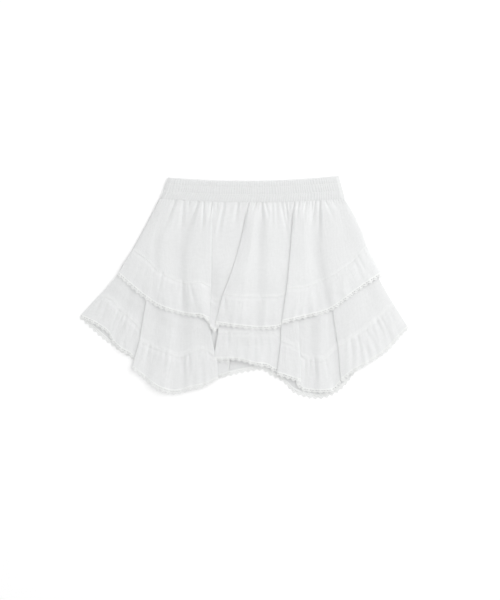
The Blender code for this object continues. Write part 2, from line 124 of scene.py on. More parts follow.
LOWER_FRONT = [Fold(*row) for row in (
    (-168, 15, -289, 176, -326, 217, 0.00, 0, 0),
    (-164, 11, -263, 186, -297, 231, 0.45, 0, 0),
    (-158, 8, -253, 200, -271, 249, 0.25, 0, 0),
    (-156, 7, -246, 207, -262, 266, 0.10, 0, 0),
    (-154, 6, -233, 217, -246, 282, 0.45, 0, 0),
    (-150, 0, -216, 234, -227, 292, 0.30, 0, 0),
    (-147, -6, -212, 262, -227, 315, 0.90, -11, -6),
    (-137, -4, -190, 273, -205, 332, 0.42, 0, 0),
    (-124, 0, -162, 283, -174, 356, 1.05, 0, 0),
    (-114, 0, -139, 292, -142, 362, 0.40, 0, 0),
    (-102, 0, -112, 284, -114, 354, 1.00, 0, 0),
    (-96, 0, -94, 278, -93, 350, 1.05, 0, 0),
    (-85, -14, -67, 291, -63, 334, 0.95, 10, -6),
    (-71, -13, -64, 279, -61, 330, 0.00, 0, 0),
    (-56, 0, -64, 246, -73, 298, 1.00, -28, 30),
    (-34, 0, -23, 246, -26, 299, 0.95, 0, 0),
    (-4, 0, 11, 246, 8, 309, 0.85, 0, 0),
    (28, 0, 36, 246, 27, 312, 0.60, 0, 0),
    (48, 0, 50, 254, 41, 320, 0.30, 0, 0),
    (58, 0, 54, 262, 46, 328, 0.88, -11, -6),
    (71, 0, 71, 268, 70, 334, 0.90, 0, 0),
    (86, -2, 89, 274, 92, 340, 0.80, 9, 8),
    (96, 0, 99, 295, 98, 357, 0.20, 0, 0),
    (106, 0, 111, 298, 111, 359, 0.10, 0, 0),
    (114, 5, 127, 299, 132, 360, 0.75, 0, 0),
    (120, 3, 139, 297, 147, 359, 0.52, 0, 0),
    (127, 0, 149, 286, 156, 356, 0.18, 0, 0),
    (135, -5, 162, 272, 167, 338, 0.68, -9, -6),
    (143, 0, 186, 259, 186, 324, 0.92, 0, 0),
    (149, 0, 211, 242, 220, 304, 0.78, 0, 0),
    (154, 0, 237, 222, 256, 280, 0.52, 0, 0),
    (162, -4, 254, 204, 273, 261, 0.40, 0, 0),
    (170, -7, 269, 196, 295, 238, 0.12, 0, 0),
)]

UPPER_BACK = [Fold(*row) for row in (
    (-174, 0.7, -225, 89, -254, 138),
    (-92, 0, -117, 148, -124, 204),
    (0, 0, -4, 170, -4, 227),
    (90, 0, 109, 148, 120, 204),
    (175, 4.0, 217, 81, 243, 140),
)]

LOWER_BACK = [Fold(*row) for row in (
    (-168, 15, -289, 176, -326, 217),
    (-145, 8, -241, 225, -269, 266),
    (-117, 0, -177, 262, -196, 311),
    (-70, 0, -117, 277, -117, 338),
    (-45, 0, -56, 266, -56, 330),
    (-13, 0, -8, 257, -8, 320),
    (6, 0, 19, 255, 19, 317),
    (24, 0, 39, 268, 38, 328),
    (43, 0, 60, 281, 58, 338),
    (62, 0, 85, 300, 81, 360),
    (90, 0, 126, 308, 128, 370),
    (118, 0, 156, 291, 165, 355),
    (137, 0, 196, 261, 205, 309),
    (170, -7, 269, 196, 295, 238),
)]

# One row for each crease: a valley from its top to its foot, where it dies out. width is the
# half width of the valley, and depth how far it sinks.
Crease = namedtuple("Crease", "top_x top_drop foot_x foot_drop width depth")

WAIST_CREASES = [Crease(*row) for row in (
    (-143, 0, -172, 71, 3.7, 2.0),
    (-128, 0, -135, 85, 3.3, 1.5),
    (-117, 0, -121, 22, 1.7, 1.1),
    (-100, 0, -120, 53, 2.9, 2.2),
    (-90, 0, -94, 67, 2.4, 1.8),
    (-75, 0, -82, 49, 2.0, 1.8),
    (-52, 0, -68, 85, 2.6, 2.0),
    (-64, 0, -68, 31, 1.7, 0.8),
    (-39, 0, -43, 31, 1.8, 1.1),
    (-26, 0, -34, 58, 2.9, 2.0),
    (-17, 0, -22, 22, 1.4, 0.9),
    (-6, 0, -26, 85, 2.0, 2.0),
    (8, 0, 0, 26, 1.7, 0.9),
    (18, 0, 19, 53, 2.9, 2.0),
    (25, 0, 33, 35, 1.8, 1.4),
    (38, 0, 39, 58, 2.0, 1.4),
    (46, 0, 48, 67, 1.9, 1.2),
    (55, 0, 71, 85, 2.4, 1.6),
    (63, 0, 70, 62, 2.1, 1.6),
    (70, 0, 71, 22, 1.4, 0.9),
    (79, 0, 73, 67, 2.1, 2.2),
    (88, 0, 82, 40, 1.9, 1.4),
    (102, 0, 95, 44, 1.9, 0.9),
    (113, 0, 111, 49, 2.4, 1.1),
    (119, 0, 111, 53, 2.0, 1.2),
    (127, 0, 125, 98, 2.9, 1.8),
    (137, 0, 157, 44, 2.4, 0.8),
    (150, 0, 168, 31, 2.2, 0.4),
)]

# How each tier lies. rise and tuck are the shares of the panel over which its folds grow from
# start and its sharp folds close, and floor_z is the height of its lowest layer. draped is set
# on the tier that lies over the others and turns down at its sides, and fine_from is the share
# of the panel that stays covered.
Tier = namedtuple("Tier", "folds rise start tuck floor_z draped front fine_from")


def ease(share):
    """0 to 1 with level ends."""
    share = np.clip(share, 0.0, 1.0)
    return share * share * (3 - 2 * share)


def mix(a, b, share):
    return a + (b - a) * share


def waist_drop(x):
    return -WAIST_SAG * (x / WAIST_RIGHT) ** 2


def below_back_hem(x, drop):
    """How far a point lies below the hem of the upper back."""
    across = (x - BACK_HEM_MIDDLE) / BACK_HEM_HALF
    return drop - (BACK_HEM_DROP - BACK_HEM_RISE * across**2)


def flat_floor(x, drop, v):
    return UPPER_BACK_Z + 0 * x


def lower_back_floor(x, drop, v):
    return mix(LOWER_BACK_Z, CLOTH_MIDDLE, ease((below_back_hem(x, drop) - 10) / 18))


def lower_front_floor(x, drop, v):
    return mix(LOWER_FRONT_Z, LOWER_BACK_Z, ease((below_back_hem(x, drop) - 20) / 24))


def upper_front_floor(x, drop, v):
    """From the waistband down on whatever lies under the upper front."""
    return mix(UPPER_FRONT_WAIST_Z, rest_height(x, drop, v), ease(v / 0.75)) + 0 * x


FLAT = (0.0, 1.0)
TIERS = {
    "lower_back": Tier(LOWER_BACK, FLAT, 0.0, FLAT, lower_back_floor, False, False, 0.75),
    "lower_front": Tier(LOWER_FRONT, (0.35, 0.6), 0.0, (0.5, 0.8), lower_front_floor, False, True, 0.5),
    "upper_back": Tier(UPPER_BACK, FLAT, 0.0, FLAT, flat_floor, False, False, 0.0),
    "upper_front": Tier(UPPER_FRONT, (0.0, 0.22), 0.35, (0.08, 0.55), upper_front_floor, True, True, 0.0),
}


def fold_line(fold, v):
    """x and drop of a fold line: v is 0 at the waist, 1 at the ruffle seam and 2 at the hem."""
    if v <= 1:
        x = mix(fold.waist_x, fold.seam_x, v) + 4 * fold.bow * v * (1 - v)
        return x, mix(waist_drop(fold.waist_x), fold.seam_drop, v)
    return mix(fold.seam_x, fold.hem_x, v - 1), mix(fold.seam_drop, fold.hem_drop, v - 1)


def sharp_fold(fold, x, drop, z, v, tier, growth):
    """Six points from the upper layer round the edge, back under it, and round to the lowest."""
    facing = np.sign(fold.tuck)
    roll = LOOSE_NOSE if facing > 0 else NOSE
    close_from, close_to = tier.tuck
    closed = ease((v - close_from) / (close_to - close_from))
    width = mix(OPEN_TUCK, abs(fold.tuck), closed)
    shut = ease(width / (2 * roll))
    hang = fold.peek * closed * mix(HANG_AT_SEAM, 1.0, max(v - 1, 0))
    loose = np.linspace(0, 1, 6)
    lower = np.array((0, 0, 0.1, 0.2, 0.6, 1))
    tight = np.array((0, 0, 0, 1, 1, 1))
    nose = np.array((1, 0, 1, -1, 0, -1)) * roll
    back = mix(loose * width, tight * width + nose, shut)
    layers = mix(loose, np.array((0, 0.25, 0.5, 0.5, 0.75, 1)), shut)
    down = layers * EDGE_DROP * RELIEF * growth * fold.height
    points = [(x - facing * b, drop + hang * t, z - d, 0.0) for b, t, d in zip(back, lower, down)]
    return points if facing > 0 else points[::-1]


def section(tier, v):
    """Points (x, drop, z, share of the waves) that the cloth passes through at v."""
    rise_from, rise_to = tier.rise
    growth = mix(tier.start, 1.0, ease((v - rise_from) / (rise_to - rise_from)))
    points = []
    for fold in tier.folds:
        x, drop = fold_line(fold, v)
        z = tier.floor_z(x, drop, v) + RELIEF * growth * fold.height
        if fold.tuck:
            points += sharp_fold(fold, x, drop, z, v, tier, growth)
        else:
            points.append((x, drop, z, min(1.0, 0.25 + fold.height)))
    if tier.draped:
        side_z = mix(LOWER_BACK_Z, SHOULDER_Z, ease((v - 1) / 0.7))
        for end, inward in ((0, 1), (-1, -1)):
            x, drop, end_z, _ = points[end]
            next_x, next_drop, _, _ = points[end + inward]
            share = SHOULDER / abs(next_x - x)
            points[end] = (x, drop, side_z, 0.0)
            shoulder_x, shoulder_drop = mix(x, next_x, share), mix(drop, next_drop, share)
            shoulder = (shoulder_x, shoulder_drop, mix(side_z, end_z, SHOULDER_SHARE), 0.0)
            points.insert(1 if end == 0 else -1, shoulder)
    return np.array(points)


def rounded(tier):
    """Whether each stretch between two section points is the rounded edge of a fold."""
    found = [True] if tier.draped else []
    for row, fold in enumerate(tier.folds):
        if fold.tuck:
            found += [True, True, False, True, True]
        if row < len(tier.folds) - 1:
            found.append(False)
    return found + ([True] if tier.draped else [])


def through(points, places):
    """The smooth curve through the points, at places given as point number plus a share."""
    ends = np.vstack((2 * points[0] - points[1], points, 2 * points[-1] - points[-2]))
    first = np.minimum(places.astype(int), len(points) - 2)
    share = (places - first)[:, None]
    before, a, b, after = (ends[first + k] for k in range(4))

    def knot(p, q):
        return np.sqrt(np.linalg.norm((q - p)[:, :3], axis=1))[:, None] + 1e-6

    t0, t1, t2 = knot(before, a), knot(a, b), knot(b, after)
    leave = ((a - before) / t0 - (b - before) / (t0 + t1) + (b - a) / t1) * t1
    arrive = ((b - a) / t1 - (after - a) / (t1 + t2) + (after - b) / t2) * t1
    s2, s3 = share**2, share**3
    return (
        (2 * s3 - 3 * s2 + 1) * a
        + (s3 - 2 * s2 + share) * leave
        + (3 * s2 - 2 * s3) * b
        + (s3 - s2) * arrive
    )


def from_edges(tier, places):
    """How many section points lie between each place and the nearest rounded edge."""
    edges = np.flatnonzero(rounded(tier)) + 0.5
    return np.maximum(abs(np.asarray(places)[:, None] - edges[None, :]).min(axis=1) - 0.5, 0)


def surface(tier, v, places):
    """Points of the tier's middle surface, eased off at its lowest layer and its highest."""
    points = through(section(tier, v), places)
    floor = tier.floor_z(points[:, 0], points[:, 1], v)
    height = (points[:, 2] - floor) / RELIEF
    crest = CREST + CREST_EASE * np.tanh((height - CREST) / CREST_EASE)
    soft = np.where(height > CREST, crest, height)
    trough = TROUGH - TROUGH * np.tanh((TROUGH - soft) / TROUGH)
    soft = np.where(soft < TROUGH, trough, soft)
    from_side = np.minimum(places, len(rounded(tier)) - places)
    inner = ease(from_side - 1.2) if tier.draped else 1.0
    if tier.draped:
        settles = mix(HEM_SETTLES, OPEN_HEM_SETTLES, ease((from_edges(tier, places) - 0.3) / 1.2))
        soft = soft * (1 - settles * ease((v - 1.5) / 0.5))
    points[:, 2] = mix(points[:, 2], floor + RELIEF * soft, inner)
    return points


@lru_cache(maxsize=1)
def lower_heights():
    """Smoothed height of the lower front over a square grid of its sizes."""
    tier = TIERS["lower_front"]
    places = np.linspace(0, len(rounded(tier)), len(rounded(tier)) * 12)
    points = np.vstack([surface(tier, v, places) for v in np.linspace(0, 2, 140)])
    cells = np.full((REST_COLUMNS, REST_ROWS), LOWER_FRONT_Z)
    across = np.clip(np.round((points[:, 0] + REST_HALF) / REST_CELL).astype(int), 0, REST_COLUMNS - 1)
    down = np.clip(np.round(points[:, 1] / REST_CELL).astype(int), 0, REST_ROWS - 1)
    np.maximum.at(cells, (across, down), points[:, 2])

    def neighbours(grid):
        padded = np.pad(grid, 1, mode="edge")
        return [padded[i : i + grid.shape[0], k : k + grid.shape[1]] for i in range(3) for k in range(3)]

    cells = np.max(neighbours(cells), axis=0)
    for _ in range(3):
        cells = np.mean(neighbours(cells), axis=0)
    return cells


def rest_height(x, drop, v):
    """Height at which the upper front's lowest layer lies on the lower front."""
    cells = lower_heights()
    across = np.clip((np.asarray(x) + REST_HALF) / REST_CELL, 0, REST_COLUMNS - 1.001)
    down = np.clip(np.asarray(drop) / REST_CELL, 0, REST_ROWS - 1.001)
    i, k = across.astype(int), down.astype(int)
    p, q = across - i, down - k
    left = mix(cells[i, k], cells[i, k + 1], q)
    right = mix(cells[i + 1, k], cells[i + 1, k + 1], q)
    clear = mix(REST_CLEAR, HEM_CLEAR, ease((v - 1.5) / 0.5))
    return np.minimum(mix(left, right, p) + clear, UPPER_FRONT_Z)


NOSE_SPACING = 0.35  # points stand this much closer round the edge of a fold


def spaced(tier, v, pitch):
    """Places a pitch apart along the row at v, closer round the edges of folds."""
    stretches = len(rounded(tier))
    fine = np.linspace(0, stretches, stretches * 40 + 1)
    row = surface(tier, v, fine)[:, :3]
    steps = np.linalg.norm(np.diff(row, axis=0), axis=1)
    tight = np.repeat(rounded(tier), 40)
    run = np.concatenate(([0.0], np.cumsum(np.where(tight, steps / NOSE_SPACING, steps))))
    count = max(8, round(run[-1] / pitch))
    return np.interp(np.linspace(0, run[-1], count + 1), run, fine)


def along_row(points):
    """Millimetres along each row of a grid of points."""
    steps = np.linalg.norm(np.diff(points[..., :3], axis=-2), axis=-1)
    start = np.zeros(steps.shape[:-1] + (1,))
    return np.concatenate((start, np.cumsum(steps, axis=-1)), axis=-1)


LIP = 0.14  # height of a crease's lip, as a share of its depth
LIP_AWAY = 2.1  # in half widths of the crease
LIP_WIDTH = 0.9


def valleys(x, drop, creases):
    """How deep the creases are at each point, with a low lip on both sides of each."""
    depth = np.zeros_like(x)
    for crease in creases:
        run_x, run_drop = crease.foot_x - crease.top_x, crease.foot_drop - crease.top_drop
        length = math.hypot(run_x, run_drop)
        top_drop = crease.top_drop + (waist_drop(crease.top_x) if crease.top_drop == 0 else 0)
        from_top_x, from_top_drop = x - crease.top_x, drop - top_drop
        share = (from_top_x * run_x + from_top_drop * run_drop) / length**2
        off = (from_top_x * run_drop - from_top_drop * run_x) / length
        spread = crease.width * mix(0.6, 1.7, np.clip(share, 0, 1))
        fade = ease((1.05 - share) / 0.85) * ease((share + 0.2) / 0.2)
        widths = abs(off) / spread
        shape = np.exp(-(widths**1.3)) - LIP * np.exp(-(((widths - LIP_AWAY) / LIP_WIDTH) ** 2))
        depth += crease.depth * fade * shape
    return depth


def uneven(run, pitch, seed):
    """An irregular row of small gathers, 0 to 1, about a pitch apart."""
    turn = run / pitch + 0.33 * np.sin(run / (3.1 * pitch) + seed)
    turn = turn + 0.2 * np.sin(run / (1.3 * pitch) + 2 * seed)
    return 0.5 - 0.5 * np.cos(2 * np.pi * turn)


def crumple(points, size, seed):
    """Gentle dents, -1 to 1, longer down the cloth than across it."""
    flat = points.reshape(-1, points.shape[-1])
    found = [noise.noise(Vector((p[0] / size, p[1] / (2.2 * size), seed))) for p in flat]
    return np.array(found).reshape(points.shape[:-1])


# Gathers and folds of a hidden side follow from these, so that both sides look alike
GATHER_LIFT = 0.6
GATHER_FADE = 0.34
FINE_GATHER = 0.4
FINE_GATHER_PITCH = 4.7
FINE_GATHER_LENGTH = 14.0
WAIST_SEAM_Z = 4.8  # where the upper front meets the waistband
WAIST_SEAM_LENGTH = 18.0  # over which it rises to its own height
ALLOWANCE = 7.0  # the ruffle seam's allowance is pressed up behind the panel
ALLOWANCE_LIFT = 0.12
DITCH = 0.08  # how far the cloth dips at a seam
DITCH_WIDTH = 1.6
DENTS = 0.38
DENT_SIZE = 26.0
PANEL_PUCKER = 0.08
PANEL_PUCKER_PITCH = 7.0
PANEL_PUCKER_LENGTH = 9.0
BACK_RELIEF = 0.22  # share of the small relief that is left on a back, and the most of it
BACK_RELIEF_MOST = 0.2
FRONT_PITCH = 1.7  # millimetres between the points of a front panel
BACK_PITCH = 4.5


def panel_levels(tier):
    """Rows down a panel: close at the waist and at the seam, and wide where it is covered."""
    covered = np.arange(0, tier.fine_from, 0.04)
    open_part = np.linspace(tier.fine_from, 1.0, round((1 - tier.fine_from) * 88) + 1)
    near_waist = np.arange(0, 0.08, 0.006) if tier.fine_from == 0 else []
    near_seam = 1 - np.arange(0, 0.05, 0.005)
    levels = np.unique(np.round(np.concatenate((covered, open_part, near_waist, near_seam)), 4))
    kept = [levels[0]]
    for level in levels[1:]:
        if level - kept[-1] > 0.0045:
            kept.append(level)
    kept[-1] = 1.0
    return np.array(kept)


def hidden_creases(tier, seed):
    """Creases for a side that isn't seen: like the front's, from a fixed seed."""
    rng = np.random.default_rng(seed)
    found = []
    for _ in range(26):
        x = rng.uniform(-165, 165)
        found.append(Crease(x, 0, x * 1.18 + rng.uniform(-4, 4), rng.uniform(18, 75),
                            rng.uniform(1.4, 3.0), rng.uniform(0.6, 1.5)))
    last = len(rounded(tier))
    for place in np.sort(rng.uniform(0.1, last - 0.1, 34)):
        top = surface(tier, 1.0, np.array([place]))[0]
        foot = surface(tier, rng.uniform(1.4, 1.95), np.array([place]))[0]
        found.append(Crease(top[0], top[1], foot[0], foot[1], rng.uniform(1.7, 2.4), rng.uniform(0.4, 1.3)))
    return tuple(found)


def panel_points(key):
    tier = TIERS[key]
    places = spaced(tier, 1.0, FRONT_PITCH if tier.front else BACK_PITCH)
    levels = panel_levels(tier)
    grid = np.array([surface(tier, v, places) for v in levels])
    x, drop = grid[..., 0], grid[..., 1]
    v = levels[:, None]
    from_waist = drop - waist_drop(x)
    to_seam = (1 - v) * PANEL_DEPTH
    gathers = uneven(x * (1 - 0.2 * v), FINE_GATHER_PITCH, 1.0)
    gathers = gathers * (1 - ease(from_waist / FINE_GATHER_LENGTH))
    puckers = uneven(along_row(grid[-1]), PANEL_PUCKER_PITCH, 2.0)
    puckers = puckers * (1 - ease(to_seam / PANEL_PUCKER_LENGTH))
    grid[..., 2] += GATHER_LIFT * (1 - ease(v / GATHER_FADE))
    if tier.draped:
        from_side = np.minimum(places, places[-1] - places)
        sewn = (1 - ease(from_waist / WAIST_SEAM_LENGTH)) * ease(from_side - 1.0)
        grid[..., 2] = mix(grid[..., 2], WAIST_SEAM_Z, sewn)
    lift = FINE_GATHER * gathers
    lift = lift + PANEL_PUCKER * puckers + DENTS * crumple(grid, DENT_SIZE, 3.0) * ease(v / 0.3)
    lift = lift + ALLOWANCE_LIFT * ease((ALLOWANCE + 2 - to_seam) / 2) - valleys(x, drop, CREASES[key])
    lift = lift - DITCH * (1 - ease(to_seam / DITCH_WIDTH))
    return finish_points(tier, grid, places, lift), levels


def finish_points(tier, grid, places, lift):
    """Adds the small relief to a grid of points: whole on a front, pressed flat on a back."""
    if tier.front:
        edge = np.minimum(places, places[-1] - places)
        keep = ease(edge / 0.6)
        grid[..., 2] += lift * keep - SIDE_FOLD_DROP * (1 - ease(edge / 0.25))
    else:
        grid[..., 2] += np.clip(BACK_RELIEF * lift, -BACK_RELIEF_MOST, BACK_RELIEF_MOST)
    return grid


def to_world(points):
    """Garment millimetres to metres in the shared frame."""
    x = (points[..., 0] - MIDDLE_X) * MM
    y = (MIDDLE_DROP - points[..., 1]) * MM
    return np.stack((x, y, points[..., 2] * MM), axis=-1)


RIM_ANGLE = math.radians(60)  # a cut edge stays crisp, and folds stay smooth


def new_piece(name, shape, material):
    """Turns a finished bmesh into a piece at the origin."""
    mesh = bpy.data.meshes.new(name)
    shape.to_mesh(mesh)
    shape.free()
    mesh.materials.append(material)
    piece = bpy.data.objects.new(name, mesh)
    bpy.context.scene.collection.objects.link(piece)
    return piece


def cloth_sheet(name, points, wall, material, layers=None, holes=None):
    """A wall of cloth round a grid of points: rows run from the waist down, each left to right.

    The UV map holds metres along the weave, and layers how many times the cloth is doubled.
    """
    world = to_world(points)
    down, across = points.shape[0] - 1, points.shape[1] - 1
    run = along_row(points)[-1] * MM
    steps_down = np.linalg.norm(np.diff(world, axis=0), axis=2).mean(axis=1)
    depth = np.concatenate(([0.0], np.cumsum(steps_down)))
    grid = bmesh.new()
    bmesh.ops.create_grid(grid, x_segments=across, y_segments=down, size=0.5)
    weave = grid.loops.layers.uv.new("weave")
    doubled = grid.verts.layers.float.new("doubled")
    spots = {}
    for vert in grid.verts:
        column = round((vert.co.x + 0.5) * across)
        row = round((0.5 - vert.co.y) * down)
        spots[vert.index] = (row, column)
        vert.co = world[row, column]
        if layers is not None:
            vert[doubled] = layers[row, column]
    for face in grid.faces:
        for loop in face.loops:
            row, column = spots[loop.vert.index]
            loop[weave].uv = (run[column], -depth[row])
    if holes is not None:
        cut = []
        for face in grid.faces:
            row = min(spots[vert.index][0] for vert in face.verts)
            column = min(spots[vert.index][1] for vert in face.verts)
            if holes(row, column):
                cut.append(face)
        bmesh.ops.delete(grid, geom=cut, context="FACES")
    piece = new_piece(name, grid, material)
    piece.data.shade_smooth()
    solid = piece.modifiers.new("wall", "SOLIDIFY")
    solid.thickness = wall * MM
    solid.offset = 0.0
    if holes is None:
        rim = piece.modifiers.new("crisp_rim", "EDGE_SPLIT")
        rim.split_angle = RIM_ANGLE
        rim.use_edge_sharp = False
    return piece


def srgb(code):
    """Hex code to linear red, green, blue and alpha."""
    parts = [int(code[k : k + 2], 16) / 255 for k in (1, 3, 5)]
    linear = [p / 12.92 if p <= 0.04045 else ((p + 0.055) / 1.055) ** 2.4 for p in parts]
    return (*linear, 1.0)


def new_material(name, finish):
    """A material and its shader, with the finish of its surface by the name of each socket."""
    material = bpy.data.materials.new(name)
    material.use_nodes = True
    shader = material.node_tree.nodes["Principled BSDF"]
    for socket, value in finish.items():
        shader.inputs[socket].default_value = value
    return material, shader


def add_node(material, kind, inputs, **settings):
    """Adds a node with its settings, its values and the sockets that feed it."""
    node = material.node_tree.nodes.new(kind)
    for name, value in settings.items():
        setattr(node, name, value)
    for socket, value in inputs.items():
        if isinstance(value, bpy.types.NodeSocket):
            material.node_tree.links.new(value, node.inputs[socket])
        else:
            node.inputs[socket].default_value = value
    return node


THREAD_PITCH = 0.0016  # real threads are 0.5 mm apart, too fine to show, so they are drawn wider
SLUB = 0.0045
CRINKLE = 0.0055
WAVE_PERIOD = math.pi / 10  # length of one band of a wave texture at scale 1


GAUZE_FINISH = {
    "Roughness": 0.92,
    "IOR": 1.5,
    "Specular IOR Level": 0.25,
    "Sheen Weight": 0.08,
    "Sheen Roughness": 0.6,
    "Subsurface Weight": 0.35,
    "Subsurface Radius": (1.0, 1.0, 1.0),
    "Subsurface Scale": 0.002,
}


def double_gauze(name, colour, doubled_colour, crinkle_depth, weave_depth):
    """Washed cotton double gauze: a dry, matte, loosely woven white with soft slubs and a light
    crinkle down the cloth. Where it lies doubled, less light passes and it looks whiter."""
    material, shader = new_material(name, GAUZE_FINISH)
    weave = add_node(material, "ShaderNodeUVMap", {}, uv_map="weave").outputs["UV"]
    crinkle_space = add_node(
        material, "ShaderNodeMapping", {"Vector": weave, "Scale": (1 / CRINKLE, 0.28 / CRINKLE, 1.0)}
    )
    crinkle = add_node(
        material, "ShaderNodeTexNoise",
        {"Vector": crinkle_space.outputs["Vector"], "Scale": 1.0, "Detail": 3.0, "Roughness": 0.55},
    )
    warp, weft = (
        add_node(
            material, "ShaderNodeTexWave",
            {"Vector": weave, "Scale": WAVE_PERIOD / THREAD_PITCH, "Distortion": 1.6, "Detail": 2.0,
             "Detail Scale": 0.6},
            bands_direction=direction,
        )
        for direction in "XY"
    )
    threads = add_node(
        material, "ShaderNodeMath", {0: warp.outputs["Fac"], 1: weft.outputs["Fac"]}, operation="ADD"
    )
    slub_space = add_node(
        material, "ShaderNodeMapping", {"Vector": weave, "Scale": (0.5 / SLUB, 1 / SLUB, 1.0)}
    )
    slub = add_node(
        material, "ShaderNodeTexNoise",
        {"Vector": slub_space.outputs["Vector"], "Scale": 1.0, "Detail": 2.0, "Roughness": 0.7},
    )
    tone = add_node(
        material, "ShaderNodeMapRange",
        {"Value": slub.outputs["Fac"], "From Min": 0.3, "From Max": 0.7, "To Min": 0.965, "To Max": 1.0},
    )
    doubled = add_node(material, "ShaderNodeAttribute", {}, attribute_name="doubled")
    layered = add_node(
        material, "ShaderNodeMix",
        {"Factor": doubled.outputs["Fac"], "A": srgb(colour), "B": srgb(doubled_colour)},
        data_type="RGBA",
    )
    speckled = add_node(
        material, "ShaderNodeMix",
        {"Factor": 1.0, "A": layered.outputs["Result"], "B": tone.outputs["Result"]},
        data_type="RGBA", blend_type="MULTIPLY",
    )
    crinkled = add_node(
        material, "ShaderNodeBump",
        {"Height": crinkle.outputs["Fac"], "Strength": 1.0, "Distance": crinkle_depth},
    )
    woven = add_node(
        material, "ShaderNodeBump",
        {"Height": threads.outputs["Value"], "Strength": 1.0, "Distance": weave_depth,
         "Normal": crinkled.outputs["Normal"]},
    )
    material.node_tree.links.new(speckled.outputs["Result"], shader.inputs["Base Color"])
    material.node_tree.links.new(woven.outputs["Normal"], shader.inputs["Normal"])
    return material


PANEL_GAUZE = double_gauze("panel_cotton_double_gauze", "#E3E4E4", "#E7E8E8", 0.00035, 0.00007)

UPPER_RUFFLE_CREASES = [Crease(*row) for row in (
    (-229, 101, -243, 131, 2.6, 0.24),
    (-218, 112, -233, 140, 2.3, 0.24),
    (-207, 116, -222, 146, 2.3, 0.18),
    (-196, 123, -211, 155, 2.6, 0.24),
    (-184, 129, -197, 165, 2.6, 0.24),
    (-169, 136, -179, 191, 3.8, 1.0),
    (-160, 144, -167, 176, 2.6, 0.24),
    (-150, 148, -158, 180, 2.6, 0.24),
    (-139, 152, -143, 183, 2.6, 0.18),
    (-130, 155, -132, 214, 3.8, 1.1),
    (-122, 157, -124, 195, 2.2, 0.24),
    (-115, 159, -103, 210, 3.2, 0.9),
    (-96, 157, -94, 183, 2.6, 0.12),
    (-71, 189, -73, 232, 3.6, 0.24),
    (-51, 183, -51, 232, 3.8, 0.9),
    (-39, 182, -41, 206, 2.6, 0.18),
    (-28, 182, -32, 225, 3.2, 0.24),
    (-9, 182, -13, 217, 3.2, 0.18),
    (4, 182, 4, 206, 2.9, 0.12),
    (17, 180, 23, 230, 4.1, 0.24),
    (32, 182, 30, 221, 2.9, 0.18),
    (47, 182, 47, 217, 2.6, 0.18),
    (64, 165, 62, 199, 2.6, 0.18),
    (75, 165, 77, 187, 2.6, 0.18),
    (90, 163, 90, 195, 2.6, 0.12),
    (105, 161, 105, 206, 2.6, 0.18),
    (120, 157, 122, 183, 2.6, 0.12),
    (133, 148, 141, 183, 2.9, 0.24),
    (164, 131, 171, 161, 2.6, 0.18),
    (179, 121, 190, 146, 2.6, 0.24),
    (184, 133, 199, 161, 2.5, 0.18),
    (192, 112, 207, 142, 2.8, 0.24),
    (201, 105, 222, 150, 3.4, 0.64),
    (209, 93, 229, 127, 2.8, 0.24),
    (214, 88, 237, 123, 2.6, 0.24),
)]

LOWER_RUFFLE_CREASES = [Crease(*row) for row in (
    (-291, 180, -308, 206, 2.9, 0.24),
    (-284, 185, -303, 219, 3.9, 1.1),
    (-278, 189, -293, 223, 2.9, 0.3),
    (-273, 191, -288, 232, 3.5, 0.64),
    (-263, 193, -276, 225, 2.8, 0.18),
    (-252, 206, -271, 255, 4.1, 1.2),
    (-244, 214, -258, 246, 3.2, 0.64),
    (-237, 217, -252, 255, 3.5, 1.0),
    (-227, 227, -244, 270, 3.2, 0.3),
    (-220, 236, -235, 277, 3.5, 0.3),
    (-205, 268, -214, 302, 3.5, 0.64),
    (-194, 274, -207, 332, 4.4, 1.4),
    (-182, 279, -194, 315, 3.1, 0.3),
    (-173, 279, -182, 311, 2.9, 0.18),
    (-162, 281, -169, 345, 4.1, 0.9),
    (-152, 293, -162, 347, 3.7, 0.64),
    (-143, 294, -145, 334, 3.1, 0.18),
    (-133, 293, -135, 341, 3.5, 0.64),
    (-128, 293, -128, 355, 3.5, 1.3),
    (-118, 291, -118, 349, 3.9, 1.2),
    (-103, 281, -94, 328, 3.9, 0.2),
    (-90, 279, -83, 304, 2.8, 0.3),
    (-81, 283, -71, 319, 3.2, 0.3),
    (-56, 247, -58, 285, 3.2, 0.3),
    (-45, 247, -43, 294, 4.1, 1.1),
    (-36, 247, -38, 289, 3.1, 0.24),
    (-21, 247, -19, 293, 3.3, 0.18),
    (-11, 249, -11, 289, 2.9, 0.24),
    (-4, 249, -2, 291, 2.9, 0.24),
    (4, 251, 6, 289, 2.9, 0.24),
    (15, 255, 17, 300, 3.5, 0.64),
    (30, 255, 32, 304, 3.2, 0.3),
    (38, 251, 39, 293, 2.9, 0.24),
    (58, 268, 56, 323, 3.2, 0.3),
    (70, 272, 68, 308, 3.1, 0.18),
    (81, 276, 81, 319, 2.9, 0.18),
    (100, 298, 98, 356, 3.9, 1.0),
    (109, 298, 107, 341, 3.3, 0.64),
    (118, 298, 122, 355, 3.9, 1.3),
    (130, 300, 130, 345, 2.9, 0.24),
    (139, 300, 149, 356, 3.9, 0.64),
    (154, 281, 158, 349, 3.9, 0.24),
    (173, 270, 177, 319, 3.2, 0.24),
    (186, 262, 192, 317, 4.2, 0.9),
    (199, 257, 211, 308, 4.1, 0.64),
    (209, 264, 222, 298, 3.2, 0.48),
    (216, 242, 231, 281, 3.7, 0.56),
    (226, 234, 243, 274, 2.9, 0.18),
    (235, 225, 259, 272, 4.7, 1.1),
    (243, 219, 263, 259, 3.3, 0.48),
    (250, 212, 269, 247, 2.9, 0.24),
    (258, 206, 276, 240, 2.9, 0.18),
    (263, 200, 282, 230, 2.5, 0.12),
)]

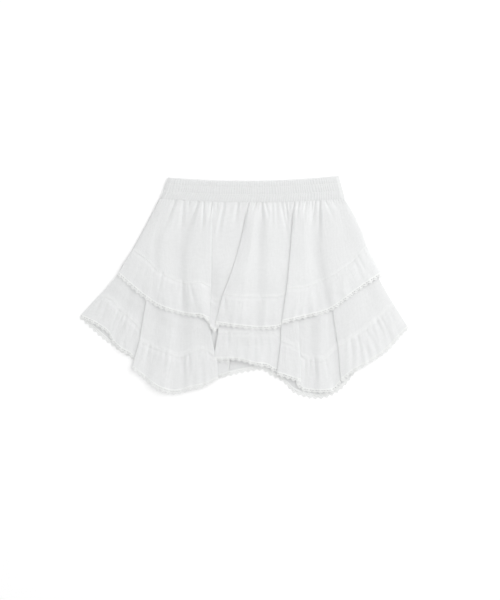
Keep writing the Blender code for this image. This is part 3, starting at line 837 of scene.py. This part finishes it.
CREASES = {
    "upper_front": WAIST_CREASES + UPPER_RUFFLE_CREASES,
    "lower_front": LOWER_RUFFLE_CREASES,
    "upper_back": hidden_creases(TIERS["upper_back"], 5),
    "lower_back": hidden_creases(TIERS["lower_back"], 6),
}

# Each panel piece, by its tier
panels = {}
for key in TIERS:
    level, side = key.split("_")
    points, levels = panel_points(key)
    allowance = ALLOWANCE + 1.6 * crumple(points, 9.0, 5.0)
    doubled = ease((allowance - ((1 - levels) * PANEL_DEPTH)[:, None]) / 2.5)
    wall = FRONT_WALL if TIERS[key].front else BACK_WALL
    panel = cloth_sheet(f"{level}_panel_{side}_gauze", points, wall, PANEL_GAUZE, doubled)
    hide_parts(f"{level}_panel_{side}")
    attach(panel, "root")
    panels[key] = panel

# ---------------------------------------------------------------- Ruffles
# A strip of the same gauze, cut across, gathered and sewn under each panel's edge. The gathers
# pucker both sides of the seam and open into uneven waves at the hem.
LACE_DEPTH = 9.5
SCALLOP = 11.0
WAVE_HEIGHT = 1.3
RUFFLE_LIFT = 0.75
RUFFLE_PUCKER = 0.10
RUFFLE_PUCKER_PITCH = 6.2
RUFFLE_END = 1 - LACE_DEPTH / RUFFLE_DEPTH
RUFFLE_GAUZE = double_gauze("ruffle_cotton_double_gauze", "#E4E5E5", "#E7E8E8", 0.0004, 0.00007)


def hem_waves(tier, points, places, share):
    """Uneven waves that open out towards the hem, the same for a ruffle and its lace."""
    stretches = len(rounded(tier))
    fine = np.linspace(0, stretches, stretches * 20 + 1)
    run = np.interp(places, fine, along_row(surface(tier, 2.0, fine)))
    swell = uneven(run, 2 * SCALLOP, 0.7) * mix(0.6, 1.0, uneven(run, 5.3 * SCALLOP, 1.9))
    return WAVE_HEIGHT * share * swell * np.clip(points[..., 3], 0, 1)


def ruffle_relief(key, points, places, shares):
    """Lift of the ruffle and its lace above the folds: gathers, waves and creases."""
    tier = TIERS[key]
    share = np.asarray(shares)[:, None]
    stretches = len(rounded(tier))
    fine = np.linspace(0, stretches, stretches * 20 + 1)
    seam_run = np.interp(places, fine, along_row(surface(tier, 1.0, fine)))
    from_seam = share * RUFFLE_DEPTH
    puckers = uneven(seam_run, RUFFLE_PUCKER_PITCH, 2.0)
    puckers = puckers * (1 - ease(from_seam / 15.0)) * ease(from_seam / 3.0)
    lift = RUFFLE_LIFT * ease(from_seam / 9.0) * mix(1.0, 0.4, share) + RUFFLE_PUCKER * puckers
    lift = lift + hem_waves(tier, points, places, share)
    lift = lift + DENTS * crumple(points, 0.7 * DENT_SIZE, 8.0)
    lift = lift - valleys(points[..., 0], points[..., 1], CREASES[key])
    return lift - DITCH * (1 - ease(from_seam / DITCH_WIDTH))


for key, tier in TIERS.items():
    level, side = key.split("_")
    places = spaced(tier, 1.6, 1.6 if tier.front else 3.0)
    shares = np.linspace(0.0, RUFFLE_END, 33 if tier.front else 15)
    points = np.array([surface(tier, 1 + share, places) for share in shares])
    points = finish_points(tier, points, places, ruffle_relief(key, points, places, shares))
    wall = FRONT_WALL if tier.front else BACK_WALL
    ruffle = cloth_sheet(f"{level}_ruffle_{side}_gauze", points, wall, RUFFLE_GAUZE)
    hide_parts(f"{level}_ruffle_{side}")
    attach(ruffle, "root")

# ---------------------------------------------------------------- Lace
# Cotton edging along every hem, machine made in one strip: a firm heading sewn to the ruffle's
# edge, a row of eyelets under it, and scallops with a smaller eyelet and three loops each.
LACE_WALL = 0.7
LACE_LAP = 1.2  # the heading reaches this far over the ruffle's edge
SCALLOP_DEPTH = 3.8
SCALLOP_COLUMNS = 12
LOOP_DEPTH = 0.6
YARN_TURN = 0.0009
LACE_ROWS = np.array((-0.11, -0.03, 0.12, 0.28, 0.46, 0.62, 0.75, 0.88, 1.0))
# How far each row stands out: the first is tucked in, the next lie on top, and the last hang
LACE_OUT = np.array((-0.3, 0.12, 0.12, 0.06, 0.0, 0.0, -0.1, -0.2, -0.3))
BACK_LACE_OUT = 0.3  # the back lace lies flat on the table, with less room to hang


def lace_hole(row, column):
    """Whether this cell of the strip is open: two eyelets under the heading of each scallop,
    and a smaller one in its middle."""
    cell = column % SCALLOP_COLUMNS
    if row == 3:
        return cell in (1, 2, 3, 8, 9, 10)
    return row == 5 and cell in (5, 6)


def lace_material():
    """Combed cotton yarn, bleached and tightly twisted: a little brighter and smoother than the
    gauze, with a fine rope of turns along each yarn."""
    material, shader = new_material(
        "lace_bleached_cotton_yarn",
        {"Roughness": 0.82, "Specular IOR Level": 0.3, "Sheen Weight": 0.05},
    )
    weave = add_node(material, "ShaderNodeUVMap", {}, uv_map="weave").outputs["UV"]
    twist = add_node(
        material, "ShaderNodeTexWave",
        {"Vector": weave, "Scale": WAVE_PERIOD / YARN_TURN, "Distortion": 3.0, "Detail": 2.0},
        bands_direction="DIAGONAL",
    )
    tone = add_node(
        material, "ShaderNodeMix",
        {"Factor": twist.outputs["Fac"], "A": srgb("#E7E8E7"), "B": srgb("#EEEFEE")},
        data_type="RGBA",
    )
    roped = add_node(
        material, "ShaderNodeBump", {"Height": twist.outputs["Fac"], "Strength": 0.8, "Distance": 0.00006}
    )
    material.node_tree.links.new(tone.outputs["Result"], shader.inputs["Base Color"])
    material.node_tree.links.new(roped.outputs["Normal"], shader.inputs["Normal"])
    return material


LACE_COTTON = lace_material()
for key, tier in TIERS.items():
    level, side = key.split("_")
    stretches = len(rounded(tier))
    fine = np.linspace(0, stretches, stretches * 60 + 1)
    run = along_row(surface(tier, 2.0, fine))
    scallops = round(run[-1] / SCALLOP)
    count = scallops * SCALLOP_COLUMNS
    places = np.interp(np.linspace(0, run[-1], count + 1), run, fine)
    turn = np.arange(count + 1) / SCALLOP_COLUMNS
    notch = SCALLOP_DEPTH * (1 - np.sin(np.pi * turn) ** 2) + LOOP_DEPTH * np.cos(3 * np.pi * turn) ** 2
    deepest = surface(tier, 2.0, places)
    heading = surface(tier, 1 + RUFFLE_END - LACE_LAP / RUFFLE_DEPTH, places)
    rows, shares = [], []
    for row in LACE_ROWS:
        depth = LACE_DEPTH * row - notch * ease(row) * row
        blend = ((depth + LACE_LAP) / (LACE_DEPTH + LACE_LAP))[:, None]
        rows.append(mix(heading, deepest, blend))
        shares.append(RUFFLE_END + row * (1 - RUFFLE_END))
    points = np.array(rows)
    points = finish_points(tier, points, places, ruffle_relief(key, points, places, shares))
    points[..., 2] += LACE_OUT[:, None] * (1 if tier.front else BACK_LACE_OUT)
    lace = cloth_sheet(f"{level}_lace_{side}_cotton", points, LACE_WALL, LACE_COTTON, holes=lace_hole)
    if tier.front:
        smooth = lace.modifiers.new("round_openings", "SUBSURF")
        smooth.levels = 1
        smooth.render_levels = 1
    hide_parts(f"{level}_lace_{side}")
    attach(lace, "root")

# ---------------------------------------------------------------- Waistband
# A casing of the same gauze round wide elastic, sewn in three channels. The elastic draws the
# cloth into some seventy fine upright gathers across the front, pinched at each stitch line.
BAND_LEFT = -158.0
BAND_RIGHT = 162.5
WAIST_LEFT = -172.0
BAND_DEPTH = 40.2
BAND_TOP_SAG = 7.9
BAND_TOP_TILT = 1.5
BAND_WALL = 1.2
BAND_FRONT_Z = 4.6
BAND_BACK_Z = 1.3
BAND_PITCH = 4.7
BAND_GATHER = 0.25
BAND_PUFF = 0.26
BAND_LINES = (0.0, 0.3, 0.645, 1.0)  # the stitch lines between the channels
BAND_LEAN = (0.0, 0.0, 3.5)  # how far the gathers of each channel lean to the left at its foot
BAND_TURN = 1.05  # the casing's sides turn in this much towards the other half, over
BAND_TURN_WIDTH = 7.0
BAND_ROWS = 12  # in each channel
BAND_COLUMNS = {"front": 430, "back": 330}
BAND_SIDES = (  # side, height of its middle, which way it faces, and how far its relief is pressed
    ("front", BAND_FRONT_Z, 1.0, 1.0),
    ("back", BAND_BACK_Z, -1.0, 0.45),
)
# The casing's colours are a few levels darker than the panels' gauze: painted shade for the shadow among
# its fine gathers.
SHADED_BAND_GAUZE = double_gauze("waistband_gauze_with_painted_shade", "#DDDEDE", "#E2E3E3", 0.0002, 0.00007)


def band_top_drop(x):
    across = (x - BAND_TOP_TILT) / BAND_RIGHT
    return -BAND_DEPTH - BAND_TOP_SAG * across**2 - BAND_TOP_TILT * across


def band_points(side, middle_z, outward, strength):
    """The casing from its top edge to the waist seam: three puffed channels of fine gathers."""
    across = np.linspace(0, 1, BAND_COLUMNS[side] + 1)
    channels = [np.linspace(a, b, BAND_ROWS) for a, b in zip(BAND_LINES, BAND_LINES[1:])]
    shares = np.unique(np.concatenate(channels))
    rows = []
    for share in shares:
        top_x, seam_x = mix(BAND_LEFT, BAND_RIGHT, across), mix(WAIST_LEFT, WAIST_RIGHT, across)
        x = mix(top_x, seam_x, share)
        drop = mix(band_top_drop(top_x), waist_drop(seam_x), share)
        channel = min(2, sum(share >= line for line in BAND_LINES[1:]))
        inside = (share - BAND_LINES[channel]) / (BAND_LINES[channel + 1] - BAND_LINES[channel])
        puff = (1 - abs(2 * inside - 1) ** 2.2) if 0 < inside < 1 else 0.0
        lean = BAND_LEAN[channel] * inside
        gathers = uneven(seam_x + lean, BAND_PITCH, 0.6 + 0.55 * channel)
        finer = uneven(seam_x, 0.52 * BAND_PITCH, 2.0 + channel)
        relief = BAND_GATHER * (mix(0.5, 1.0, puff) * (2 * np.sqrt(gathers) - 1) + 0.25 * finer)
        relief *= mix(1.0, 0.35, ease((seam_x - 140) / 30))
        ends = np.minimum(across, 1 - across) * (WAIST_RIGHT - WAIST_LEFT)
        turned = 1 - ease(ends / BAND_TURN_WIDTH)
        height = strength * (BAND_PUFF * puff + relief) * (1 - turned)
        z = middle_z + outward * height - outward * BAND_TURN * turned
        z = z - outward * 0.5 * (1 - ease(share / 0.035))
        rows.append(np.stack((x, drop, z), axis=-1))
    return np.array(rows)


for side, middle_z, outward, strength in BAND_SIDES:
    points = band_points(side, middle_z, outward, strength)
    band = cloth_sheet(f"waistband_{side}_casing", points, BAND_WALL, SHADED_BAND_GAUZE)
    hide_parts(f"waistband_{side}")
    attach(band, "root")

# ---------------------------------------------------------------- Stitching
# White sewing thread: two rows through the waistband, front and back, and one row above each
# ruffle seam of the front. The stitches are small, even and half sunk in the cloth.
STITCH = 2.6
STITCH_GAP = 0.7
THREAD = 0.32
THREAD_TURN = 0.0006
THREAD_LIFT = 0.05  # from the cloth's face to the middle of the thread
SEAM_STITCHES_ABOVE = 2.2  # the row lies this far above the ruffle seam


def thread_material():
    """Spun polyester thread: bright white, tightly twisted, with a slight gloss on its turns."""
    material, shader = new_material(
        "white_sewing_thread", {"Roughness": 0.6, "Specular IOR Level": 0.4}
    )
    place = add_node(material, "ShaderNodeTexCoord", {}).outputs["Object"]
    turns = add_node(
        material, "ShaderNodeTexWave",
        {"Vector": place, "Scale": WAVE_PERIOD / THREAD_TURN, "Distortion": 1.0},
        bands_direction="DIAGONAL",
    )
    tone = add_node(
        material, "ShaderNodeMix",
        {"Factor": turns.outputs["Fac"], "A": srgb("#E4E4E3"), "B": srgb("#F2F2F1")}, data_type="RGBA",
    )
    material.node_tree.links.new(tone.outputs["Result"], shader.inputs["Base Color"])
    return material


SEWING_THREAD = thread_material()


def front_normals(points):
    """Directions out of the cloth's outer face, in garment axes."""
    across = np.gradient(points[..., :3], axis=1)
    down = np.gradient(points[..., :3], axis=0)
    normal = np.cross(across, down)
    return normal / (np.linalg.norm(normal, axis=-1)[..., None] + 1e-9)


def stitch_row(name, points, normals, height):
    """Small stitches end to end along a line of points, lying on the cloth's outer face."""
    run = along_row(points)
    line = to_world(points[:, :3] + normals * height)
    facing = normals * np.array((1, -1, 1))
    stitches = bmesh.new()
    for start in np.arange(1.0, run[-1] - STITCH, STITCH + STITCH_GAP):
        middle, ahead = (
            Vector([np.interp(at, run, line[:, axis]) for axis in range(3)])
            for at in (start + STITCH / 2, start + STITCH / 2 + 0.4)
        )
        along = (ahead - middle).normalized()
        up = Vector([np.interp(start + STITCH / 2, run, facing[:, axis]) for axis in range(3)])
        side = up.cross(along).normalized()
        up = along.cross(side)
        axes = Matrix((along, side, up)).transposed().to_4x4()
        size = Matrix.Diagonal((STITCH / 2 * MM, THREAD / 2 * 1.3 * MM, THREAD / 2 * MM, 1.0))
        bmesh.ops.create_icosphere(
            stitches, subdivisions=1, radius=1.0, matrix=Matrix.Translation(middle) @ axes @ size
        )
    bmesh.ops.recalc_face_normals(stitches, faces=stitches.faces)
    piece = new_piece(name, stitches, SEWING_THREAD)
    piece.data.shade_smooth()
    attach(piece, "root")
    return piece


for side, middle_z, outward, strength in BAND_SIDES:
    points = band_points(side, middle_z, outward, strength)
    out = np.zeros((points.shape[1], 3))
    out[:, 2] = outward
    for number in (1, 2):
        row = points[number * (BAND_ROWS - 1)]
        name = f"waistband_{side}_stitches_{number}"
        thread = stitch_row(name, row, out, BAND_WALL / 2 + THREAD_LIFT)

for key, tier in TIERS.items():
    if not tier.front:
        continue
    level, side = key.split("_")
    points, levels = panel_points(key)
    row = int(np.argmin(abs((1 - levels) * PANEL_DEPTH - SEAM_STITCHES_ABOVE)))
    name = f"{level}_seam_stitches_{side}"
    normals = front_normals(points)[row]
    thread = stitch_row(name, points[row], normals, FRONT_WALL / 2 + THREAD_LIFT)

# ---------------------------------------------------------------- Panel names
# Each panel's key is split into its level and side.
for key, panel in panels.items():
    level, side = key.split("_")

# ---------------------------------------------------------------- Table, lights and camera
# A matt white light table under the skirt, glowing faintly so that it stays white, one soft light
# low on the upper right, a broad one overhead, and even light from all round.
FLOOR_SIZE = 14.0
PAPER_GLOW = 0.02
paper_white, paper_shader = new_material(
    "matt_white_paper",
    {"Roughness": 1.0, "Specular IOR Level": 0.0, "Emission Color": (1.0, 1.0, 1.0, 1.0),
     "Emission Strength": PAPER_GLOW},
)
paper_place = add_node(paper_white, "ShaderNodeTexCoord", {}).outputs["Object"]
fibre = add_node(
    paper_white, "ShaderNodeTexNoise", {"Vector": paper_place, "Scale": 400.0, "Detail": 2.0}
)
paper_tone = add_node(
    paper_white, "ShaderNodeMix",
    {"Factor": fibre.outputs["Fac"], "A": srgb("#F8F8F8"), "B": srgb("#FBFBFB")}, data_type="RGBA",
)
paper_white.node_tree.links.new(paper_tone.outputs["Result"], paper_shader.inputs["Base Color"])
paper = bmesh.new()
bmesh.ops.create_grid(paper, x_segments=2, y_segments=2, size=FLOOR_SIZE / 2)
new_piece("paper", paper, paper_white)

KEY_AZIMUTH = math.radians(35)
KEY_ELEVATION = math.radians(24)
TOWARDS_KEY = Vector((
    math.cos(KEY_ELEVATION) * math.cos(KEY_AZIMUTH),
    math.cos(KEY_ELEVATION) * math.sin(KEY_AZIMUTH),
    math.sin(KEY_ELEVATION),
))
LIGHTS = (  # name, direction, distance and size in metres, and power in watts
    ("soft_key", TOWARDS_KEY, 2.2, 1.8, 26.8),
    ("soft_top", Vector((0.0, 0.0, 1.0)), 4.5, 5.0, 82.0),
)
for name, towards, distance, size, power in LIGHTS:
    light = bpy.data.lights.new(name, "AREA")
    light.shape = "SQUARE"
    light.size = size
    light.energy = power
    lamp = bpy.data.objects.new(name, light)
    lamp.visible_camera = False
    lamp.location = towards * distance
    lamp.rotation_euler = towards.to_track_quat("Z", "Y").to_euler()
    bpy.context.scene.collection.objects.link(lamp)

ROOM_LIGHT = 0.65
world = bpy.data.worlds.new("studio")
world.use_nodes = True
background = world.node_tree.nodes["Background"]
background.inputs["Color"].default_value = (1.0, 1.0, 1.0, 1.0)
background.inputs["Strength"].default_value = ROOM_LIGHT
bpy.context.scene.world = world
bpy.context.scene.view_settings.view_transform = "Standard"

VIEW_HEIGHT = 1.128  # metres of the table from the top to the bottom of the picture
VIEW_MIDDLE = (0.0115, -0.0232)
LENS = 100.0
SENSOR = 36.0
camera_data = bpy.data.cameras.new("overhead")
camera_data.lens = LENS
camera_data.sensor_fit = "VERTICAL"
camera_data.sensor_height = SENSOR
camera_data.clip_end = 50.0
camera = bpy.data.objects.new("overhead", camera_data)
camera.location = (*VIEW_MIDDLE, VIEW_HEIGHT * LENS / SENSOR)
bpy.context.scene.collection.objects.link(camera)
bpy.context.scene.camera = camera
